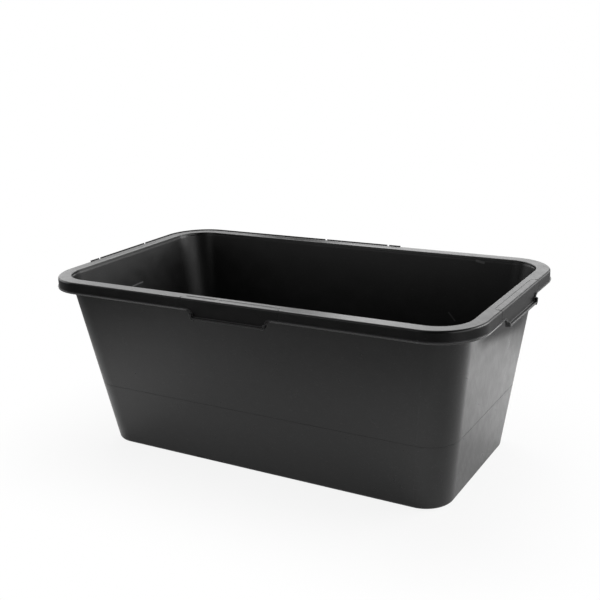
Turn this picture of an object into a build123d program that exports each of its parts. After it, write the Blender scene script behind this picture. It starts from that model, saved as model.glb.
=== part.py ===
from build123d import *
from math import acos, cos, sin
import os

# Driving dimensions, millimetres: the rim's outer plan and the height to the flange's top
rim_length = 780
rim_width = 442
tub_height = 313
rim_corner_radius = 76

# The rim: a flat flange, a hanging skirt with a bead along its lower edge, and a step inside
flange_width = 23
flange_thickness = 3
flange_outer_round = 3.2
flange_inner_round = 1.6
skirt_height = 19.7
skirt_thickness = 2.5
bead_height = 3.2
bead_reach = 1.9
bead_lean = 1.2
bead_round = 0.5
step_top = 3.8
step_drop = 1.8
step_depth = 1.8
step_round = 0.7
inner_lean = 0.7
step_lean = 0.8
shoulder_drop = 7

# The body: four leaning walls with wide corners round a flat floor, and a witness line round them
base_length = 649
base_width = 310
base_corner_radius = 47.5
wall_thickness = 3
floor_thickness = 3.5
base_outer_round = 6
base_inner_round = 9
floor_inset = 14
gate_recess_radius = 8
gate_recess_depth = 0.8
gate_stub_radius = 3
witness_height = 113
witness_width = 0.7
witness_depth = 0.25

# The grips: on each side the skirt drops lower, and its lower edge is turned out into a lip
grip_half_length = 91
grip_shoulder = 77
grip_depth = 33.4
grip_upper_radius = 8
grip_lower_radius = 7
lip_top = 28.9
lip_reach = 5.2
lip_bevel = 0.8
lip_bevel_height = 1.8
lip_wall = 2.4
lip_crease = 0.6
lip_round = 2.2
lip_edge_round = 0.4
ear_top = 22.5
ear_slope = 1.2
ear_reach = 5.8
ear_round = 0.7

# The mould slider's witness groove round each grip, and thin flash along the rear and left of the rim
slider_setback = 10
slider_round = 8
groove_width = 0.8
groove_depth = 0.35
flash_height = 1.4
flash_thickness = 0.8
flash_break_start = 64
flash_break_end = 68

# Derived places
wall_height = tub_height - shoulder_drop
inner_rim_radius = rim_corner_radius - flange_width
wall_top_radius = inner_rim_radius + wall_thickness - step_depth
rim_centre_x = rim_length / 2 - rim_corner_radius
rim_centre_y = rim_width / 2 - rim_corner_radius
base_centre_x = base_length / 2 - base_corner_radius
base_centre_y = base_width / 2 - base_corner_radius
skirt_inside = flange_width - skirt_thickness
bead_edge = flange_width + bead_reach
bead_top = bead_height - skirt_height
lip_edge = flange_width + lip_reach
ear_edge = flange_width + ear_reach
grip_turn = acos(1 - (grip_depth - skirt_height) / (grip_upper_radius + grip_lower_radius))
grip_foot = grip_shoulder - (grip_upper_radius + grip_lower_radius) * sin(grip_turn)
zone_margin = 5
half_turn = Rot(0, 0, 180)


def corner_plan(height):
    """Centre and radius of the wall's rounded corner at a height above the floor."""
    share = height / wall_height
    centre_x = base_centre_x + (rim_centre_x - base_centre_x) * share
    centre_y = base_centre_y + (rim_centre_y - base_centre_y) * share
    radius = base_corner_radius + (wall_top_radius - base_corner_radius) * share
    return centre_x, centre_y, radius


def wall_plan(height, inset):
    """Rounded rectangle of the wall's outer face at a height, drawn in by inset."""
    centre_x, centre_y, radius = corner_plan(height)
    radius -= inset
    plan = RectangleRounded(2 * (centre_x + radius), 2 * (centre_y + radius), radius)
    return Pos(0, 0, height) * plan


def leaning_block(low_plan, high_plan, bottom_round):
    """Solid between two plans, with its bottom edges rounded."""
    block = loft([low_plan, high_plan], ruled=True)
    bottom = block.faces().sort_by(Axis.Z)[0]
    return fillet(bottom.edges(), bottom_round)


def witness_ring():
    """Ring that cuts the shallow witness groove into the outside of the walls."""
    surround = Pos(0, 0, witness_height) * Rectangle(rim_length, rim_width)
    return extrude(surround - wall_plan(witness_height, witness_depth), witness_width, dir=(0, 0, 1))


def body_shell():
    """The whole open body, from the floor up to the step under the rim."""
    outside = leaning_block(wall_plan(0, 0), wall_plan(wall_height, 0), base_outer_round)
    low_plan = wall_plan(floor_thickness, wall_thickness)
    high_plan = wall_plan(wall_height + zone_margin, wall_thickness)
    return outside - leaning_block(low_plan, high_plan, base_inner_round)


def floor_block():
    """Upright block that takes the flat part of the floor out of the shell."""
    radius = base_corner_radius - floor_inset
    plan = RectangleRounded(2 * (base_centre_x + radius), 2 * (base_centre_y + radius), radius)
    return extrude(plan, base_inner_round, both=True)


def floor_panel():
    """Flat floor, with the moulding gate's round recess and stub underneath."""
    recess = Cylinder(gate_recess_radius, 2 * gate_recess_depth)
    stub = Cylinder(gate_stub_radius, 2 * gate_recess_depth)
    return (shell & floor_block()) - (recess - stub)


def wall_zone(limits):
    """One zone of the wall; limits turns a corner's centre into the zone's plan limits."""
    plans = []
    for height in (-zone_margin, wall_height + zone_margin):
        centre_x, centre_y, _ = corner_plan(height)
        x_low, x_high, y_low, y_high = limits(centre_x, centre_y)
        plan = Rectangle(x_high - x_low, y_high - y_low)
        plans.append(Pos((x_low + x_high) / 2, (y_low + y_high) / 2, height) * plan)
    zone = (shell - floor_block()) & loft(plans, ruled=True)
    return zone - witness_ring()


def rounded(corners, rounds):
    """Closed section through the corners, with the named corners rounded."""
    section = make_face(Polyline(*corners, close=True))
    for x, y, radius in rounds:
        corner = section.vertices().sort_by_distance((x, y, 0))[0]
        section = fillet(corner, radius)
    return section


def rim_profile(with_bead):
    """Section of the rim: x outwards from the flange's inner edge, y up from the flange's top."""
    step_edge = (-inner_lean, -step_top)
    step_foot = (-inner_lean - step_lean, -step_top - step_drop)
    skirt_foot = [(skirt_inside, -skirt_height), (flange_width, -skirt_height)]
    rounds = [
        (flange_width, 0, flange_outer_round),
        (0, 0, flange_inner_round),
        (*step_edge, step_round),
        (*step_foot, step_round),
    ]
    if with_bead:
        bead_corners = [(bead_edge - bead_lean, -skirt_height), (bead_edge, bead_top)]
        skirt_foot = [skirt_foot[0], *bead_corners, (flange_width, bead_top)]
        rounds += [(*corner, bead_round) for corner in bead_corners]
    corners = [
        (-step_depth, -shoulder_drop),
        (wall_thickness - step_depth, -shoulder_drop),
        (flange_thickness, -step_top),
        (flange_thickness, -flange_thickness),
        (skirt_inside, -flange_thickness),
        *skirt_foot,
        (flange_width, 0),
        (0, 0),
        step_edge,
        step_foot,
    ]
    return rounded(corners, rounds)


def along_rim(section, start, end):
    """Sweep a section along X; the flange's inner edge is at y 0 and outwards is -Y."""
    section_plane = Plane((end, 0, tub_height), x_dir=(0, -1, 0), z_dir=(-1, 0, 0))
    return extrude(section_plane * section, end - start)


def from_outside(face, depth, thickness):
    """Stand a face up along the run, depth outwards of the flange's inner edge, and thicken it."""
    stand = Plane((0, -depth, tub_height), x_dir=(1, 0, 0), z_dir=(0, -1, 0))
    return extrude(stand * face, thickness)


def both_hands(half):
    """A half of a grip's feature together with its mirror image."""
    return [half, mirror(half, Plane.YZ)]


def flash_section():
    """Section of the thin upright flash on the flange's outer edge."""
    centre = Pos(flange_width - flash_thickness / 2, (flash_height - flange_outer_round) / 2)
    return centre * Rectangle(flash_thickness, flash_height + flange_outer_round)


def run_section(with_flash):
    """Section of the rim between the grips, with or without the flash."""
    section = rim_profile(True)
    return section + flash_section() if with_flash else section


def rim_corner(with_flash):
    """Quarter turn of rim about Z, from the +X direction to the +Y direction."""
    section_plane = Plane((inner_rim_radius, 0, tub_height), x_dir=(1, 0, 0), z_dir=(0, -1, 0))
    return revolve(section_plane * run_section(with_flash), Axis.Z, 90)


def half_outline(inset):
    """Left half of the dropped skirt from outside: x along the run, y up from the flange's top."""
    top = inset - skirt_height
    low = inset - grip_depth
    upper = grip_upper_radius + inset
    lower = grip_lower_radius - inset
    shoulder = (-grip_shoulder, top)
    turn = (upper * sin(grip_turn) - grip_shoulder, top - upper * (1 - cos(grip_turn)))
    foot = (-grip_foot, low)
    back = [foot, (0, low), (0, -flange_thickness), (-grip_half_length, -flange_thickness)]
    outline = [
        RadiusArc(shoulder, turn, upper),
        RadiusArc(turn, foot, -lower),
        Polyline(*back, (-grip_half_length, top), shoulder),
    ]
    return make_face(outline)


def window(x_low, x_high, top, low):
    """Rectangle in the outline's coordinates, from top down to low."""
    return Pos((x_low + x_high) / 2, -(top + low) / 2) * Rectangle(x_high - x_low, low - top)


def soft_front(solid, keep_sharp, radius):
    """Round the edges of a solid's outermost face, apart from those that keep_sharp picks."""
    front = solid.faces().sort_by(Axis.Y)[0]
    edges = [edge for edge in front.edges() if not keep_sharp(edge.center())]
    return fillet(edges, radius)


def half_ear():
    """The bead and then the lip carried round the left S-shaped edge of the dropped skirt."""
    strip = half_outline(0) - half_outline(bead_height)
    corners = [
        (skirt_inside, bead_top),
        (bead_edge, bead_top),
        (bead_edge, -ear_top),
        (ear_edge, -ear_top - ear_slope),
        (ear_edge, -grip_depth),
        (skirt_inside, -grip_depth),
    ]
    flare = along_rim(rounded(corners, []), -grip_shoulder, -grip_foot)
    solid = from_outside(strip, skirt_inside, ear_edge) & flare
    far_end = -0.1 - grip_foot
    return soft_front(solid, lambda c: c.X > far_end, ear_round)


def lip():
    """The turned-out lip: a ledge with a hanging edge, rounded above and bevelled below."""
    foot = lip_edge - lip_bevel
    inside = lip_edge - lip_wall
    under = -lip_top - lip_wall
    panel_end = 2 * lip_crease - lip_top
    corners = [
        (skirt_inside, panel_end),
        (flange_width, panel_end),
        (flange_width, -lip_top),
        (lip_edge, -lip_top),
        (lip_edge, lip_bevel_height - grip_depth),
        (foot, -grip_depth),
        (inside, -grip_depth),
        (inside, under),
        (skirt_inside, under),
    ]
    rounds = [
        (flange_width, -lip_top, lip_crease),
        (lip_edge, -lip_top, lip_round),
        (foot, -grip_depth, lip_edge_round),
        (inside, -grip_depth, lip_edge_round),
    ]
    whole = along_rim(rounded(corners, rounds), -grip_shoulder, grip_shoulder)
    half_limits = from_outside(half_outline(bead_height / 2), skirt_inside, lip_edge)
    return whole & (half_limits + mirror(half_limits, Plane.YZ))


def slider_plan(inset):
    """Plan of the slider's zone on the flange, open to the outside, drawn in by inset."""
    near = slider_setback + inset
    far = 2 * flange_width
    plan = Pos(0, -(near + far) / 2) * Rectangle(2 * (grip_half_length - inset), far - near)
    inner_corners = plan.vertices().sort_by(Axis.Y)[-2:]
    return fillet(inner_corners, slider_round - inset)


def slider_leg():
    """Cutter for the groove's left end, over the flange's outer edge and down the skirt."""
    low = -2 * skirt_height
    edge = flange_width - groove_depth
    corners = [(0, low), (edge, low), (edge, -groove_depth), (0, -groove_depth)]
    core = rounded(corners, [(edge, -groove_depth, flange_outer_round - groove_depth)])
    surround = window(flange_width - flange_outer_round, 2 * flange_width, -groove_depth, -low)
    return along_rim(surround - core, -grip_half_length, groove_width - grip_half_length)


def slider_groove():
    """Shallow groove round the slider's zone: a U on the flange and a line down the skirt at its ends."""
    band = slider_plan(0) - slider_plan(groove_width)
    on_flange = extrude(Pos(0, 0, tub_height - groove_depth) * band, 2 * groove_depth)
    return [on_flange, *both_hands(slider_leg())]


def grip_flash():
    """Thin upright flash along the outer edge, in three stretches with a break at each grip end."""
    stretches = [
        (-grip_half_length, -flash_break_end),
        (-flash_break_start, flash_break_start),
        (flash_break_end, grip_half_length),
    ]
    return [along_rim(flash_section(), start, end) for start, end in stretches]


def grip(with_flash):
    """Rim with its skirt dropped for the fingers and the lower edge turned out as a lip."""
    above_lip = half_outline(0) - window(-grip_half_length, 0, lip_top + lip_wall, grip_depth)
    panel = from_outside(above_lip, skirt_inside, skirt_thickness)
    end_run = along_rim(rim_profile(True), -grip_half_length, -grip_shoulder)
    middle = along_rim(rim_profile(False), -grip_shoulder, grip_shoulder)
    body = middle + both_hands(end_run) + both_hands(panel) + lip() + both_hands(half_ear())
    if with_flash:
        body += grip_flash()
    return body - slider_groove()


# Body zones: the front and right ones are cut out, and the rest are turned or mirrored copies
shell = body_shell()
front_wall = wall_zone(lambda x, y: (-x, x, -rim_width, 0))
right_wall = wall_zone(lambda x, y: (0, rim_length, -y, y))
front_right_corner = wall_zone(lambda x, y: (x, rim_length, -rim_width, -y))
front_left_corner = mirror(front_right_corner, Plane.YZ)
nodes = {
    "floor_panel": floor_panel(),
    "front_wall": front_wall,
    "rear_wall": half_turn * front_wall,
    "right_end_wall": right_wall,
    "left_end_wall": half_turn * right_wall,
    "front_right_wall_corner": front_right_corner,
    "front_left_wall_corner": front_left_corner,
    "rear_left_wall_corner": half_turn * front_right_corner,
    "rear_right_wall_corner": half_turn * front_left_corner,
}

# Rim corners, named by the turn that brings the quarter from +X, +Y to its place
rim_turns = {"rear_right": 0, "rear_left": 90, "front_left": 180, "front_right": 270}
for name, turn in rim_turns.items():
    x_sign = 1 if "right" in name else -1
    y_sign = 1 if "rear" in name else -1
    place = Pos(x_sign * rim_centre_x, y_sign * rim_centre_y, 0) * Rot(0, 0, turn)
    nodes[f"{name}_rim_corner"] = place * rim_corner(with_flash=name == "rear_left")

# Straight rim on each side: a grip in the middle and a run on each hand, seen from outside
sides = {
    "front": (0, rim_width, rim_centre_x),
    "right": (90, rim_length, rim_centre_y),
    "rear": (180, rim_width, rim_centre_x),
    "left": (270, rim_length, rim_centre_y),
}
for side, (turn, across, half_run) in sides.items():
    place = Rot(0, 0, turn) * Pos(0, flange_width - across / 2, 0)
    nodes[f"{side}_grip"] = place * grip(with_flash=side in ("rear", "left"))
    left_run = along_rim(run_section(with_flash=side == "left"), -half_run, -grip_half_length)
    right_run = along_rim(run_section(with_flash=side == "rear"), grip_half_length, half_run)
    nodes[f"{side}_rim_left_run"] = place * left_run
    nodes[f"{side}_rim_right_run"] = place * right_run

os.makedirs("parts", exist_ok=True)
for name, solid in nodes.items():
    export_step(solid, f"parts/{name}.step")
    print(name, "volume", round(solid.volume), "mm3")
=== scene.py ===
from math import cos, radians, sin

import bpy
from mathutils import Matrix, Vector

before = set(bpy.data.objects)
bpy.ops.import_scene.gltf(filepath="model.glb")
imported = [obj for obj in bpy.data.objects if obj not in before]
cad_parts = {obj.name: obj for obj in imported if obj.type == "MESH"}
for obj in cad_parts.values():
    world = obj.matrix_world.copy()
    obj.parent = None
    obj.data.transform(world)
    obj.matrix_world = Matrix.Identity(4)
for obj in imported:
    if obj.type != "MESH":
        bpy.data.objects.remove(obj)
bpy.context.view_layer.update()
scene = bpy.context.scene
scene.view_settings.view_transform = "Standard"


# node helpers

def plug(tree, value, socket):
    if isinstance(value, bpy.types.NodeSocket):
        tree.links.new(value, socket)
    else:
        socket.default_value = value


def addNode(tree, kind, sockets=None, **settings):
    node = tree.nodes.new("ShaderNode" + kind)
    for name, value in settings.items():
        setattr(node, name, value)
    for name, value in (sockets or {}).items():
        plug(tree, value, node.inputs[name])
    return node


def maths(tree, operation, *values):
    node = addNode(tree, "Math", operation=operation)
    for value, socket in zip(values, node.inputs):
        plug(tree, value, socket)
    return node.outputs[0]


def vectorMaths(tree, operation, *values):
    node = addNode(tree, "VectorMath", operation=operation)
    for value, socket in zip(values, node.inputs):
        plug(tree, value, socket)
    return node.outputs["Value" if operation in ("DOT_PRODUCT", "LENGTH", "DISTANCE") else "Vector"]


def axes(tree, vector):
    return addNode(tree, "SeparateXYZ", {"Vector": vector}).outputs


def joinAxes(tree, x, y, z=0.0):
    return addNode(tree, "CombineXYZ", {"X": x, "Y": y, "Z": z}).outputs[0]


def remap(tree, value, low, high, newLow=0.0, newHigh=1.0):
    sockets = {"Value": value, "From Min": low, "From Max": high, "To Min": newLow, "To Max": newHigh}
    return addNode(tree, "MapRange", sockets, interpolation_type="SMOOTHSTEP").outputs["Result"]


def noise(tree, vector, scale, detail=2.0, roughness=0.5):
    sockets = {"Vector": vector, "Scale": scale, "Detail": detail, "Roughness": roughness}
    return addNode(tree, "TexNoise", sockets).outputs[0]


def mixColours(tree, share, first, second):
    node = addNode(tree, "Mix", data_type="RGBA")
    plug(tree, share, node.inputs["Factor"])
    plug(tree, first, node.inputs["A"])
    plug(tree, second, node.inputs["B"])
    return node.outputs["Result"]


def newGroup(name, inputs, outputs):
    tree = bpy.data.node_groups.new(name, "ShaderNodeTree")
    for direction, sockets in (("INPUT", inputs), ("OUTPUT", outputs)):
        for socketName, kind in sockets.items():
            tree.interface.new_socket(socketName, in_out=direction, socket_type="NodeSocket" + kind)
    return tree, tree.nodes.new("NodeGroupInput").outputs, tree.nodes.new("NodeGroupOutput").inputs


def useGroup(tree, group, sockets):
    node = addNode(tree, "Group", node_tree=group)
    for name, value in sockets.items():
        plug(tree, value, node.inputs[name])
    return node.outputs


# effects, each made once and given its own values in each plastic

def makeMouldGrain():
    # spark-eroded mould skin: fine pits, and broader patches where the skin is duller
    tree, given, out = newGroup("mouldGrain", {"Vector": "Vector", "Grain": "Float", "Patch": "Float"},
                                {"Pits": "Float", "Patches": "Float"})
    fine = maths(tree, "DIVIDE", 1.0, given["Grain"])
    broad = maths(tree, "DIVIDE", 1.0, given["Patch"])
    plug(tree, noise(tree, given["Vector"], fine), out["Pits"])
    plug(tree, noise(tree, given["Vector"], broad, detail=3.0, roughness=0.6), out["Patches"])
    return tree


def makeDrawStreaks():
    # polishing lines of the mould, long and thin, leaning from the upright
    tree, given, out = newGroup("drawStreaks", {"Vector": "Vector", "Lean": "Float", "Width": "Float",
                                                "Length": "Float"}, {"Streaks": "Float"})
    place = axes(tree, given["Vector"])
    flat = joinAxes(tree, maths(tree, "ADD", place["X"], place["Y"]), place["Z"])
    turned = addNode(tree, "VectorRotate", {"Vector": flat, "Angle": given["Lean"]}, rotation_type="Z_AXIS")
    thin = joinAxes(tree, given["Width"], given["Length"], 1.0)
    stretched = vectorMaths(tree, "DIVIDE", turned.outputs[0], thin)
    plug(tree, noise(tree, stretched, 1.0, detail=3.0, roughness=0.6), out["Streaks"])
    return tree


def makePanelWave():
    # slow hollows and swells left as the panels cool
    tree, given, out = newGroup("panelWave", {"Vector": "Vector", "Size": "Float"}, {"Height": "Float"})
    scale = maths(tree, "DIVIDE", 1.0, given["Size"])
    plug(tree, noise(tree, given["Vector"], scale, detail=1.0, roughness=0.4), out["Height"])
    return tree


wearBreaks = {"scale": 60.0, "detail": 4.0, "roughness": 0.7, "cut": (0.42, 0.68), "turn": (0.02, 0.25)}


def makeEdgeWear():
    # corners rubbed by stacking, found by rounding the normal, broken up so that the rubbing is uneven
    tree, given, out = newGroup("edgeWear", {"Vector": "Vector", "Normal": "Vector", "Reach": "Float"},
                                {"Turn": "Float", "Mask": "Float"})
    rounded = addNode(tree, "Bevel", {"Radius": given["Reach"]}, samples=4).outputs[0]
    turn = maths(tree, "SUBTRACT", 1.0, vectorMaths(tree, "DOT_PRODUCT", rounded, given["Normal"]))
    broken = noise(tree, given["Vector"], wearBreaks["scale"], wearBreaks["detail"], wearBreaks["roughness"])
    patchy = remap(tree, broken, *wearBreaks["cut"])
    plug(tree, turn, out["Turn"])
    plug(tree, maths(tree, "MULTIPLY", remap(tree, turn, *wearBreaks["turn"]), patchy), out["Mask"])
    return tree


scuffLines = {"turns": (25.0, 100.0, 160.0), "axis": (0.5, 0.5, 0.7), "cut": (0.76, 0.82)}


def makeScuffs():
    # short hair scratches lying all ways
    tree, given, out = newGroup("scuffs", {"Vector": "Vector", "Width": "Float", "Length": "Float"},
                                {"Mask": "Float"})
    thin = joinAxes(tree, given["Width"], given["Length"], given["Width"])
    total = 0.0
    for turn in scuffLines["turns"]:
        turned = addNode(tree, "VectorRotate", {"Vector": given["Vector"], "Axis": scuffLines["axis"],
                                                "Angle": radians(turn)}, rotation_type="AXIS_ANGLE")
        lines = noise(tree, vectorMaths(tree, "DIVIDE", turned.outputs[0], thin), 1.0, detail=0.0)
        total = maths(tree, "ADD", total, remap(tree, lines, *scuffLines["cut"]))
    plug(tree, maths(tree, "MINIMUM", total, 1.0), out["Mask"])
    return tree


flowLines = {"bendScale": 9.0, "bend": 9.0, "patchScale": 14.0, "patchCut": (0.45, 0.7)}


def makeFlowArcs():
    # ripples of the melt front, spreading from where the plastic came in
    tree, given, out = newGroup("flowArcs", {"Vector": "Vector", "Gate": "Vector", "Spacing": "Float"},
                                {"Ripple": "Float"})
    bent = maths(tree, "MULTIPLY", noise(tree, given["Vector"], flowLines["bendScale"]), flowLines["bend"])
    reach = vectorMaths(tree, "DISTANCE", given["Vector"], given["Gate"])
    phase = maths(tree, "ADD", maths(tree, "DIVIDE", reach, given["Spacing"]), bent)
    patchy = remap(tree, noise(tree, given["Vector"], flowLines["patchScale"]), *flowLines["patchCut"])
    plug(tree, maths(tree, "MULTIPLY", maths(tree, "SINE", phase), patchy), out["Ripple"])
    return tree


endWallFacing = (0.9, 0.97)


def makeGripBow():
    # the outside of an end wall draws in behind its grip, where the thick rim cooled last,
    # and from lower down towards the rear
    inputs = {"Vector": "Vector", "Normal": "Vector", "Low": "Float", "Slant": "Float", "Reach": "Float",
              "Middle": "Float", "Fade": "Float"}
    tree, given, out = newGroup("gripBow", inputs, {"Height": "Float"})
    place = axes(tree, given["Vector"])
    facing = axes(tree, given["Normal"])
    low = maths(tree, "SUBTRACT", given["Low"], maths(tree, "MULTIPLY", place["Y"], given["Slant"]))
    rise = maths(tree, "DIVIDE", maths(tree, "SUBTRACT", place["Z"], low), given["Reach"])
    rise = maths(tree, "MAXIMUM", rise, 0.0)
    # curved over the reach, then straight on
    over = maths(tree, "MAXIMUM", maths(tree, "SUBTRACT", rise, 1.0), 0.0)
    curve = maths(tree, "SUBTRACT", maths(tree, "MULTIPLY", rise, rise), maths(tree, "MULTIPLY", over, over))
    outside = maths(tree, "LESS_THAN", facing["Z"], 0.0)
    endWall = remap(tree, maths(tree, "ABSOLUTE", facing["X"]), *endWallFacing)
    middle = remap(tree, maths(tree, "ABSOLUTE", place["Y"]), given["Middle"], given["Fade"], 1.0, 0.0)
    drawn = curve
    for share in (middle, outside, endWall, -1.0):
        drawn = maths(tree, "MULTIPLY", drawn, share)
    plug(tree, drawn, out["Height"])
    return tree


scratchCore = (0.2, 0.6)


def makeScratch():
    # one straight scratch between two points, thinning out at its rim
    tree, given, out = newGroup("scratch", {"Vector": "Vector", "Start": "Vector", "End": "Vector",
                                            "Width": "Float"}, {"Mask": "Float"})
    run = vectorMaths(tree, "SUBTRACT", given["End"], given["Start"])
    offset = vectorMaths(tree, "SUBTRACT", given["Vector"], given["Start"])
    share = maths(tree, "DIVIDE", vectorMaths(tree, "DOT_PRODUCT", offset, run),
                  vectorMaths(tree, "DOT_PRODUCT", run, run))
    clamped = maths(tree, "MINIMUM", maths(tree, "MAXIMUM", share, 0.0), 1.0)
    nearest = addNode(tree, "VectorMath", {"Scale": clamped}, operation="SCALE")
    plug(tree, run, nearest.inputs[0])
    gap = vectorMaths(tree, "DISTANCE", offset, nearest.outputs[0])
    plug(tree, remap(tree, maths(tree, "DIVIDE", gap, given["Width"]), *scratchCore, 1.0, 0.0), out["Mask"])
    return tree


effects = {"grain": makeMouldGrain(), "streaks": makeDrawStreaks(), "wave": makePanelWave(),
           "wear": makeEdgeWear(), "scuffs": makeScuffs(), "arcs": makeFlowArcs(), "bow": makeGripBow(),
           "scratch": makeScratch()}
print("effects made:", ", ".join(effects))


# knocks from use: start, end, width and strength of each
# the ends of the scratches and foot grazes were picked as pixels in the photograph,
# cast on to the model by another program, and rounded

scratches = (((-0.3573, -0.018, 0.2505), (-0.3574, 0.012, 0.251), 0.003, 1.0),
             ((0.202, 0.1822, 0.209), (0.2145, 0.1803, 0.196), 0.003, 0.6),
             ((0.248, 0.1962, 0.306), (0.261, 0.1959, 0.304), 0.005, 0.7))
footGrazes = (((-0.127, -0.1558, 0.0058), (-0.112, -0.1558, 0.0057), 0.003, 1.0),
              ((-0.107, -0.1552, 0.0034), (-0.075, -0.1554, 0.0039), 0.003, 1.0),
              ((-0.026, -0.1556, 0.0052), (-0.012, -0.1556, 0.0052), 0.003, 0.7))
# the mould slider's line, dull with dirt on the front and right grips
sliderLine = {"half": 0.0906, "top": 0.313,
              "frontRun": -0.2084, "frontEnds": 0.083, "frontGap": (-0.03, -0.02),
              "frontLeg": (-0.216, -0.2195), "rightLeg": (0.3845, 0.3885), "rightLegFoot": 0.3125,
              "skirt": 0.39, "skirtTop": 0.311, "skirtFoot": 0.297,
              "runWidth": 0.006, "legWidth": 0.003, "skirtWidth": 0.002,
              "runStrengths": (0.9, 0.6), "frontLegStrengths": (1.0, 0.7), "rightLegStrength": 1.0,
              "skirtStrength": 0.8}
# the knocks' pale colour, also used for the painted highlight on the bead and lip
knockAndHighlightLook = {"colour": (0.11, 0.11, 0.112, 1), "grazeDepth": 0.0002, "grazeDull": 0.4}


def sliderGrazes():
    line = sliderLine
    top, run = line["top"], line["frontRun"]
    sides = (-line["half"], line["half"])
    spans = ((-line["frontEnds"], line["frontGap"][0]), (line["frontGap"][1], line["frontEnds"]))
    grazes = []
    for (start, end), strength in zip(spans, line["runStrengths"]):
        grazes.append(((start, run, top), (end, run, top), line["runWidth"], strength))
    start, end = line["frontLeg"]
    for side, strength in zip(sides, line["frontLegStrengths"]):
        grazes.append(((side, start, top), (side, end, top), line["legWidth"], strength))
    start, end = line["rightLeg"]
    for side in sides:
        grazes.append(((start, side, top), (end, side, line["rightLegFoot"]), line["legWidth"],
                       line["rightLegStrength"]))
        grazes.append(((line["skirt"], side, line["skirtTop"]), (line["skirt"], side, line["skirtFoot"]),
                       line["skirtWidth"], line["skirtStrength"]))
    return tuple(grazes)


def joinKnocks(tree, place, knocks):
    total = 0.0
    for start, end, width, strength in knocks:
        sockets = {"Vector": place, "Start": start, "End": end, "Width": width}
        knock = useGroup(tree, effects["scratch"], sockets)
        total = maths(tree, "MAXIMUM", total, maths(tree, "MULTIPLY", knock["Mask"], strength))
    return total


# black polyethylene

wallLook = {
    "name": "mouldedWall", "colour": (0.003, 0.003, 0.0031, 1), "pale": (0.005, 0.005, 0.0051, 1),
    "worn": (0.03, 0.03, 0.031, 1), "roughness": 0.31, "spread": 0.04, "wornRoughness": 0.05,
    "grain": 0.0011, "patch": 0.026, "grainDepth": 0.00001, "patchDepth": 0.0001,
    "waveSize": 0.075, "waveDepth": 0.0005, "insideDull": 0.08,
    "lean": radians(-32), "streakWidth": 0.0035, "streakLength": 0.07, "streakDepth": 0.00003,
    "edgeReach": 0.0025, "scuffWidth": 0.0009, "scuffLength": 0.03, "arcSpacing": 0.004, "arcDepth": 0.000008,
    "bow": {"Low": 0.231, "Slant": 0.15, "Reach": 0.019, "Middle": 0.07, "Fade": 0.14}, "bowDepth": 0.0017,
}
rimLook = {
    "name": "mouldedRim", "colour": (0.003, 0.003, 0.0031, 1), "pale": (0.005, 0.005, 0.0051, 1),
    "worn": (0.03, 0.03, 0.031, 1), "roughness": 0.31, "spread": 0.035, "wornRoughness": 0.06,
    "grain": 0.0009, "patch": 0.02, "grainDepth": 0.000006, "patchDepth": 0.00003,
    "waveSize": 0.06, "waveDepth": 0.00022,
    "lean": radians(4), "streakWidth": 0.005, "streakLength": 0.06, "streakDepth": 0.00004,
    "edgeReach": 0.0022, "scuffWidth": 0.0008, "scuffLength": 0.02, "arcSpacing": 0.0025, "arcDepth": 0.00001,
    # painted highlight: below this height the rim's rounded edges are painted pale
    "highlightTop": 0.298, "highlightShare": 0.75,
}
# how the effects are weighed together in both plastics, and which edges take the painted highlight
skinMix = {"paleCut": (0.4, 0.75), "wornShare": 0.6, "highlightTurn": (0.003, 0.04),
           "patchDull": 0.6, "streakDull": 0.4, "dullCut": (0.3, 0.7), "ior": 1.5}
gatePlace = (0.0, 0.0, 0.0)


def skinColour(tree, look, place, skin):
    # carbon-black body, paler in dull patches, scuffed on edges and along hair scratches, with a painted
    # highlight on the bead and lip
    patchy = remap(tree, skin["grain"]["Patches"], *skinMix["paleCut"])
    colour = mixColours(tree, patchy, look["colour"], look["pale"])
    rubbed = maths(tree, "MAXIMUM", skin["wear"]["Mask"], skin["scuffs"]["Mask"])
    colour = mixColours(tree, maths(tree, "MULTIPLY", rubbed, skinMix["wornShare"]), colour, look["worn"])
    scratchesAndHighlight = skin["scratched"]
    if "highlightShare" in look:
        # painted highlight: the rounded lower edges of the bead and lip are painted pale, as the light line
        # they catch
        low = maths(tree, "LESS_THAN", axes(tree, place)["Z"], look["highlightTop"])
        edge = remap(tree, skin["wear"]["Turn"], *skinMix["highlightTurn"])
        paintedHighlight = maths(tree, "MULTIPLY", maths(tree, "MULTIPLY", low, edge), look["highlightShare"])
        scratchesAndHighlight = maths(tree, "MAXIMUM", scratchesAndHighlight, paintedHighlight)
    return mixColours(tree, scratchesAndHighlight, colour, knockAndHighlightLook["colour"])


def skinGloss(tree, look, normal, skin):
    # duller in the patches and between the polishing lines, on worn edges, inside and where grazed
    patches = maths(tree, "MULTIPLY", skin["grain"]["Patches"], skinMix["patchDull"])
    lines = maths(tree, "MULTIPLY", skin["streaks"]["Streaks"], skinMix["streakDull"])
    smooth, rough = look["roughness"] - look["spread"], look["roughness"] + look["spread"]
    gloss = remap(tree, maths(tree, "ADD", patches, lines), *skinMix["dullCut"], smooth, rough)
    dulled = [(skin["wear"]["Mask"], look["wornRoughness"]), (skin["grazed"], knockAndHighlightLook["grazeDull"])]
    if "insideDull" in look:
        inside = maths(tree, "GREATER_THAN", axes(tree, normal)["Z"], 0.0)
        dulled.append((inside, look["insideDull"]))
    for mask, share in dulled:
        gloss = maths(tree, "ADD", gloss, maths(tree, "MULTIPLY", mask, share))
    return gloss


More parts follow.
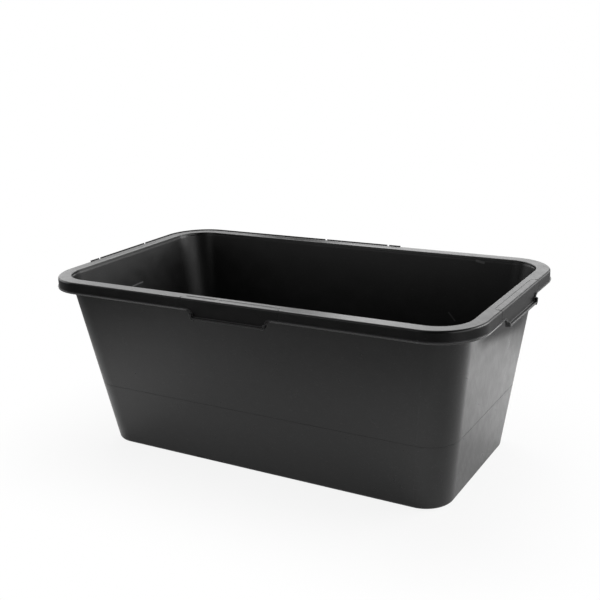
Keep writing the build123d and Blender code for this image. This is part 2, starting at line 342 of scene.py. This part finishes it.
def skinRelief(tree, look, place, normal, skin):
    # each layer with its own depth in metres
    layers = [(skin["wave"]["Height"], look["waveDepth"]), (skin["grain"]["Patches"], look["patchDepth"]),
              (skin["streaks"]["Streaks"], look["streakDepth"]), (skin["arcs"]["Ripple"], look["arcDepth"]),
              (skin["grain"]["Pits"], look["grainDepth"]),
              (maths(tree, "MULTIPLY", skin["grazed"], -1.0), knockAndHighlightLook["grazeDepth"])]
    if "bow" in look:
        bow = useGroup(tree, effects["bow"], {"Vector": place, "Normal": normal, **look["bow"]})
        layers.insert(0, (bow["Height"], look["bowDepth"]))
    relief = None
    for height, depth in layers:
        bump = addNode(tree, "Bump", {"Strength": 1.0, "Distance": depth, "Height": height})
        if relief:
            plug(tree, relief, bump.inputs["Normal"])
        relief = bump.outputs[0]
    return relief


def makePlastic(look):
    material = bpy.data.materials.new(look["name"])
    material.use_nodes = True
    tree = material.node_tree
    shader = tree.nodes["Principled BSDF"]
    shader.inputs["IOR"].default_value = skinMix["ior"]
    place = addNode(tree, "TexCoord").outputs["Object"]
    normal = addNode(tree, "NewGeometry").outputs["Normal"]
    settings = {
        "grain": {"Grain": look["grain"], "Patch": look["patch"]},
        "streaks": {"Lean": look["lean"], "Width": look["streakWidth"], "Length": look["streakLength"]},
        "wave": {"Size": look["waveSize"]},
        "wear": {"Normal": normal, "Reach": look["edgeReach"]},
        "scuffs": {"Width": look["scuffWidth"], "Length": look["scuffLength"]},
        "arcs": {"Gate": gatePlace, "Spacing": look["arcSpacing"]},
    }
    skin = {name: useGroup(tree, effects[name], {"Vector": place, **own}) for name, own in settings.items()}
    skin["scratched"] = joinKnocks(tree, place, scratches)
    skin["grazed"] = joinKnocks(tree, place, footGrazes + sliderGrazes())
    plug(tree, skinColour(tree, look, place, skin), shader.inputs["Base Color"])
    plug(tree, skinGloss(tree, look, normal, skin), shader.inputs["Roughness"])
    plug(tree, skinRelief(tree, look, place, normal, skin), shader.inputs["Normal"])
    return material


wallPlastic = makePlastic(wallLook)
rimPlastic = makePlastic(rimLook)
for name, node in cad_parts.items():
    isRim = "rim" in name or "grip" in name
    node.data.materials.clear()
    node.data.materials.append(rimPlastic if isRim else wallPlastic)
print("finished nodes:", len(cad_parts))


# studio: a pale table that glows towards the tub, and soft boxes all round

# the table's paint is painted darker away from the tub, as painted shade for a dim room
tableLook = {"reach": 6.0, "roughness": 0.9, "paint": 0.8, "farPaintedShade": 0.15, "paintedShadeFade": (0.3, 0.75),
             "shadowShare": 0.12, "shadowReach": 0.3, "footX": 0.325, "footY": 0.155,
             "glowFade": (0.4, 0.8), "frontTrim": 0.12, "frontReach": (-0.25, -0.1),
             "sweep": 1.0, "sweepAside": (-0.15, 0.05), "sweepBack": (0.7, 0.95),
             "patch": 0.38, "patchAside": (0.65, 0.85), "patchBack": (0.76, 0.98)}
# place along the table's depth, and glow there
# the glows from 0.0 to 0.9 come from a least-squares fit to the photograph's grey levels, rounded,
# and those from -0.5 to -0.155 were raised from that fit
tableGlow = ((-0.62, 0.0), (-0.5, 0.1), (-0.38, 0.47), (-0.27, 0.47), (-0.155, 0.27), (0.0, 0.28),
             (0.2, 0.44), (0.35, 0.68), (0.5, 0.61), (0.7, 0.0), (0.9, 0.19), (1.1, 0.0))


def beyondFoot(tree, place):
    gaps = []
    for axis, foot in (("X", tableLook["footX"]), ("Y", tableLook["footY"])):
        outward = maths(tree, "SUBTRACT", maths(tree, "ABSOLUTE", place[axis]), foot)
        gaps.append(maths(tree, "MAXIMUM", outward, 0.0))
    return vectorMaths(tree, "LENGTH", joinAxes(tree, *gaps))


def tableShine(tree, place):
    across, depth = place["X"], place["Y"]
    # glow along the table's depth, which the tub's skin mirrors
    near, far = tableGlow[0][0], tableGlow[-1][0]
    ramp = addNode(tree, "ValToRGB")
    elements = ramp.color_ramp.elements
    while len(elements) < len(tableGlow):
        elements.new(0.5)
    for element, (spot, glow) in zip(elements, tableGlow):
        element.position = (spot - near) / (far - near)
        element.color = (glow, glow, glow, 1)
    plug(tree, maths(tree, "DIVIDE", maths(tree, "SUBTRACT", depth, near), far - near), ramp.inputs["Fac"])
    # in front it ends sooner at the right, where the near corner mirrors it
    trim = remap(tree, depth, *tableLook["frontReach"], tableLook["frontTrim"], 0.0)
    trimmed = maths(tree, "MAXIMUM", maths(tree, "ABSOLUTE", across), maths(tree, "ADD", across, trim))
    fade = remap(tree, trimmed, *tableLook["glowFade"], 1.0, 0.0)
    glow = maths(tree, "MULTIPLY", ramp.outputs["Color"], fade)
    # the white sweep behind, which the rear edges mirror
    behind = remap(tree, depth, *tableLook["sweepBack"], 0.0, tableLook["sweep"])
    leftward = remap(tree, maths(tree, "MULTIPLY", across, -1.0), *tableLook["sweepAside"])
    sweep = maths(tree, "MULTIPLY", behind, leftward)
    # and a bright patch at the right, which the right skirt mirrors
    behind = remap(tree, depth, *tableLook["patchBack"], 0.0, tableLook["patch"])
    rightward = remap(tree, across, *tableLook["patchAside"])
    patch = maths(tree, "MULTIPLY", behind, rightward)
    return maths(tree, "ADD", glow, maths(tree, "ADD", sweep, patch))


def makeTable():
    bpy.ops.mesh.primitive_plane_add(size=2 * tableLook["reach"])
    table = bpy.context.object
    table.name = "table"
    material = bpy.data.materials.new("tableTop")
    material.use_nodes = True
    tree = material.node_tree
    lit = tree.nodes["Principled BSDF"]
    lit.inputs["Roughness"].default_value = tableLook["roughness"]
    lit.inputs["Specular IOR Level"].default_value = 0.0
    place = axes(tree, addNode(tree, "NewGeometry").outputs["Position"])
    beyond = beyondFoot(tree, place)
    # painted shade: the paint is pale by the tub and is painted darker further off, standing in for a dim
    # room
    paint = remap(tree, beyond, *tableLook["paintedShadeFade"], tableLook["paint"], tableLook["farPaintedShade"])
    grey = addNode(tree, "CombineColor", {"Red": paint, "Green": paint, "Blue": paint})
    plug(tree, grey.outputs[0], lit.inputs["Base Color"])
    glowing = addNode(tree, "Emission", {"Strength": tableShine(tree, place)})
    seen = addNode(tree, "AddShader")
    plug(tree, lit.outputs[0], seen.inputs[0])
    plug(tree, glowing.outputs[0], seen.inputs[1])
    # the camera sees white, with a share of the lit paint by the tub so that its shadow stays
    share = remap(tree, beyond, 0.0, tableLook["shadowReach"], tableLook["shadowShare"], 0.0)
    white = addNode(tree, "Emission", {"Strength": 1.0})
    shaded = addNode(tree, "MixShader", {"Fac": share})
    plug(tree, white.outputs[0], shaded.inputs[1])
    plug(tree, lit.outputs[0], shaded.inputs[2])
    choose = addNode(tree, "MixShader", {"Fac": addNode(tree, "LightPath").outputs["Is Camera Ray"]})
    plug(tree, seen.outputs[0], choose.inputs[1])
    plug(tree, shaded.outputs[0], choose.inputs[2])
    plug(tree, choose.outputs[0], tree.nodes["Material Output"].inputs["Surface"])
    table.data.materials.append(material)


def makeBackground():
    world = bpy.data.worlds.new("studio")
    scene.world = world
    world.use_nodes = True
    tree = world.node_tree
    background = tree.nodes["Background"]
    background.inputs["Color"].default_value = (1, 1, 1, 1)
    plug(tree, addNode(tree, "LightPath").outputs["Is Camera Ray"], background.inputs["Strength"])


# place, size across, watts
# most of the watts come from the same fit; those of rightBack, rightFront, front, ceiling and highRight
# were set after it
softBoxes = {"left": ((-1.9, -0.4, 0.8), 1.2, 6.3), "farLeft": ((-1.9, 0.6, 0.7), 1.2, 4.8),
             "backLeft": ((-1.5, 1.2, 0.7), 1.2, 5.6), "backCentre": ((-0.3, 1.85, 0.7), 1.2, 9.2),
             "backRight": ((1.05, 1.6, 0.7), 1.2, 5.3), "rightBack": ((1.6, 1.0, 0.95), 1.2, 20.0),
             "right": ((1.9, 0.2, 0.8), 1.2, 5.0), "rightFront": ((1.85, -0.75, 0.65), 1.2, 7.8),
             "frontLeft": ((-0.8, -1.9, 0.7), 1.0, 2.7), "front": ((0.2, -2.2, 1.0), 1.0, 0.3),
             "overhead": ((-0.8, 1.0, 1.6), 1.2, 19.4), "ceiling": ((-0.6, -0.5, 1.9), 2.4, 6.0),
             "highRight": ((1.5, 1.0, 1.4), 1.0, 5.0)}
aimPoint = Vector((0, 0, 0.2))


def makeSoftBoxes():
    for name, (place, across, watts) in softBoxes.items():
        data = bpy.data.lights.new(name, "AREA")
        data.size = across
        data.energy = watts
        lamp = bpy.data.objects.new(name, data)
        scene.collection.objects.link(lamp)
        lamp.location = place
        lamp.rotation_euler = (aimPoint - Vector(place)).to_track_quat("-Z", "Y").to_euler()
        lamp.visible_camera = False


makeTable()
makeBackground()
makeSoftBoxes()
print("studio lit by", len(softBoxes), "soft boxes")


# camera at the photograph's viewing angle, from a fit to the tub's outline and edges

shot = {"azimuth": radians(30.526), "elevation": radians(16.345), "roll": radians(-2.16),
        "distance": 1.722055, "aside": -0.000272, "raised": 0.248631,
        "focalShare": 952.318 / 600, "sensor": 36.0}


def placeCamera():
    azimuth, elevation, roll = shot["azimuth"], shot["elevation"], shot["roll"]
    back = Vector((sin(azimuth) * cos(elevation), -cos(azimuth) * cos(elevation), sin(elevation)))
    level = Vector((cos(azimuth), sin(azimuth), 0))
    upright = back.cross(level)
    right = level * cos(roll) + upright * sin(roll)
    up = upright * cos(roll) - level * sin(roll)
    stand = back * shot["distance"] + level * shot["aside"] + upright * shot["raised"]
    data = bpy.data.cameras.new("camera")
    data.sensor_width = shot["sensor"]
    data.lens = shot["focalShare"] * shot["sensor"]
    camera = bpy.data.objects.new("camera", data)
    scene.collection.objects.link(camera)
    turn = Matrix((right, up, back)).transposed().to_4x4()
    camera.matrix_world = Matrix.Translation(stand) @ turn
    scene.camera = camera


placeCamera()
print("camera placed")
